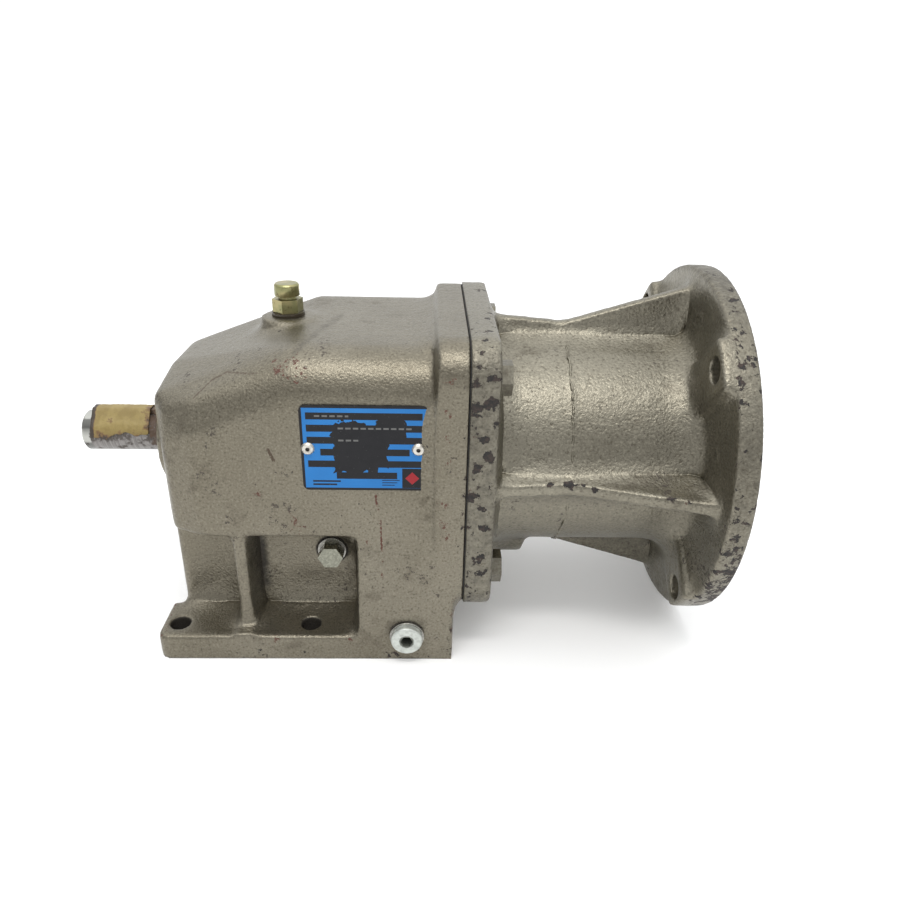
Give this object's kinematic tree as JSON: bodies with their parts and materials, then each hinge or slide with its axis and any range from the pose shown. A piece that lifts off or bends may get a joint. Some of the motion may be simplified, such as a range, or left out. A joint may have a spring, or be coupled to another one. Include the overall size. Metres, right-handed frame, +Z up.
{
  "type": "inline gear reducer",
  "caption": "Foot-mounted coaxial helical gear reducer with a keyed output shaft, a ribbed motor adapter and a C-face motor flange.",
  "frame": {"origin": "centre of the foot bolt pattern, on the base face", "axes": "+X along the shafts from the output end to the motor flange, +Y to the side away from the nameplate, +Z up"},
  "size_m": [0.2935, 0.165, 0.1675],
  "materials": {
    "case_paint": "silver-bronze metallic paint on rough cast iron, worn",
    "adapter_paint": "silver-bronze metallic paint on cast iron, chipped at the edges",
    "gasket": "dark compressed fibre",
    "bolt_steel": "zinc-plated steel, dulled",
    "washer_steel": "dull dark steel",
    "ground_steel": "ground steel",
    "yellow_zinc": "yellow-passivated zinc plate",
    "zinc_steel": "bright zinc plate",
    "pale_zinc": "pale zinc plate",
    "nameplate_blue": "printed aluminium plate, blue and black",
    "rivet_steel": "drive rivet",
    "seal_rubber": "moulded nitrile rubber",
    "spring_steel": "blackened spring steel",
    "shaft_steel": "turned steel with rust near the case",
    "key_steel": "drawn key steel",
    "wrap_tape": "yellow protective tape, grimy",
    "spider_rubber": "orange-red polyurethane",
    "hub_iron": "machined grey iron",
    "gear_steel": "case-hardened and oiled",
    "bearing_steel": "polished bearing steel",
    "cage_brass": "pressed brass cage"
  },
  "bodies": {
    "housing": {"gearcase": "case_paint", "motor_adapter": "adapter_paint", "housing_gasket": "gasket", "housing_bolts": "bolt_steel", "dowel_pins": "ground_steel", "vent_plug": "yellow_zinc", "vent_cap": "yellow_zinc", "level_plug": "zinc_steel", "level_plug_washer": "washer_steel", "drain_plug": "pale_zinc", "drain_plug_washer": "washer_steel", "nameplate": "nameplate_blue", "nameplate_rivets": "rivet_steel", "output_seal": "seal_rubber", "input_seal": "seal_rubber", "output_outer_rings": "bearing_steel", "countershaft_outer_rings": "bearing_steel", "input_outer_rings": "bearing_steel", "seal_side_circlip": "spring_steel", "input_bore_circlip": "spring_steel"},
    "output_rotor": {"output_shaft": "shaft_steel", "output_key": "key_steel", "key_wrap": "wrap_tape", "output_gear": "gear_steel", "output_gear_key": "key_steel", "output_inner_rings": "bearing_steel", "output_spacer": "key_steel", "output_gear_circlip": "spring_steel"},
    "countershaft_rotor": {"countershaft": "gear_steel", "driven_gear": "gear_steel", "driven_gear_key": "key_steel", "countershaft_inner_rings": "bearing_steel", "countershaft_spacer": "key_steel", "driven_gear_circlip": "spring_steel"},
    "input_rotor": {"input_shaft": "gear_steel", "input_inner_rings": "bearing_steel", "input_spacer": "key_steel", "input_hub_key": "key_steel", "gear_side_hub": "hub_iron", "coupling_spider": "spider_rubber", "motor_side_hub": "hub_iron", "hub_set_screws": "spring_steel"},
    "output_ball_sets": {"output_bearing_balls": "bearing_steel", "output_bearing_cages": "cage_brass"},
    "countershaft_ball_sets": {"countershaft_bearing_balls": "bearing_steel", "countershaft_bearing_cages": "cage_brass"},
    "input_ball_sets": {"input_bearing_balls": "bearing_steel", "input_bearing_cages": "cage_brass"}
  },
  "joints": [
    {"name": "output_spin", "type": "hinge", "parent": "housing", "child": "output_rotor", "pos_m": [0, 0, 0.085], "axis": [1, 0, 0], "continuous": true},
    {"name": "countershaft_spin", "type": "hinge", "parent": "housing", "child": "countershaft_rotor", "pos_m": [0, 0, 0.043], "axis": [1, 0, 0], "continuous": true},
    {"name": "input_spin", "type": "hinge", "parent": "housing", "child": "input_rotor", "pos_m": [0, 0, 0.085], "axis": [1, 0, 0], "continuous": true},
    {"name": "output_cage_spin", "type": "hinge", "parent": "housing", "child": "output_ball_sets", "pos_m": [0, 0, 0.085], "axis": [1, 0, 0], "continuous": true},
    {"name": "countershaft_cage_spin", "type": "hinge", "parent": "housing", "child": "countershaft_ball_sets", "pos_m": [0, 0, 0.043], "axis": [1, 0, 0], "continuous": true},
    {"name": "input_cage_spin", "type": "hinge", "parent": "housing", "child": "input_ball_sets", "pos_m": [0, 0, 0.085], "axis": [1, 0, 0], "continuous": true}
  ],
  "couplings": [
    {"joint": "countershaft_spin", "follows": "output_spin", "ratio": -3},
    {"joint": "input_spin", "follows": "output_spin", "ratio": 6.3},
    {"joint": "output_cage_spin", "follows": "output_spin", "ratio": 0.3976},
    {"joint": "countershaft_cage_spin", "follows": "output_spin", "ratio": -1.143},
    {"joint": "input_cage_spin", "follows": "output_spin", "ratio": 2.5049}
  ]
}
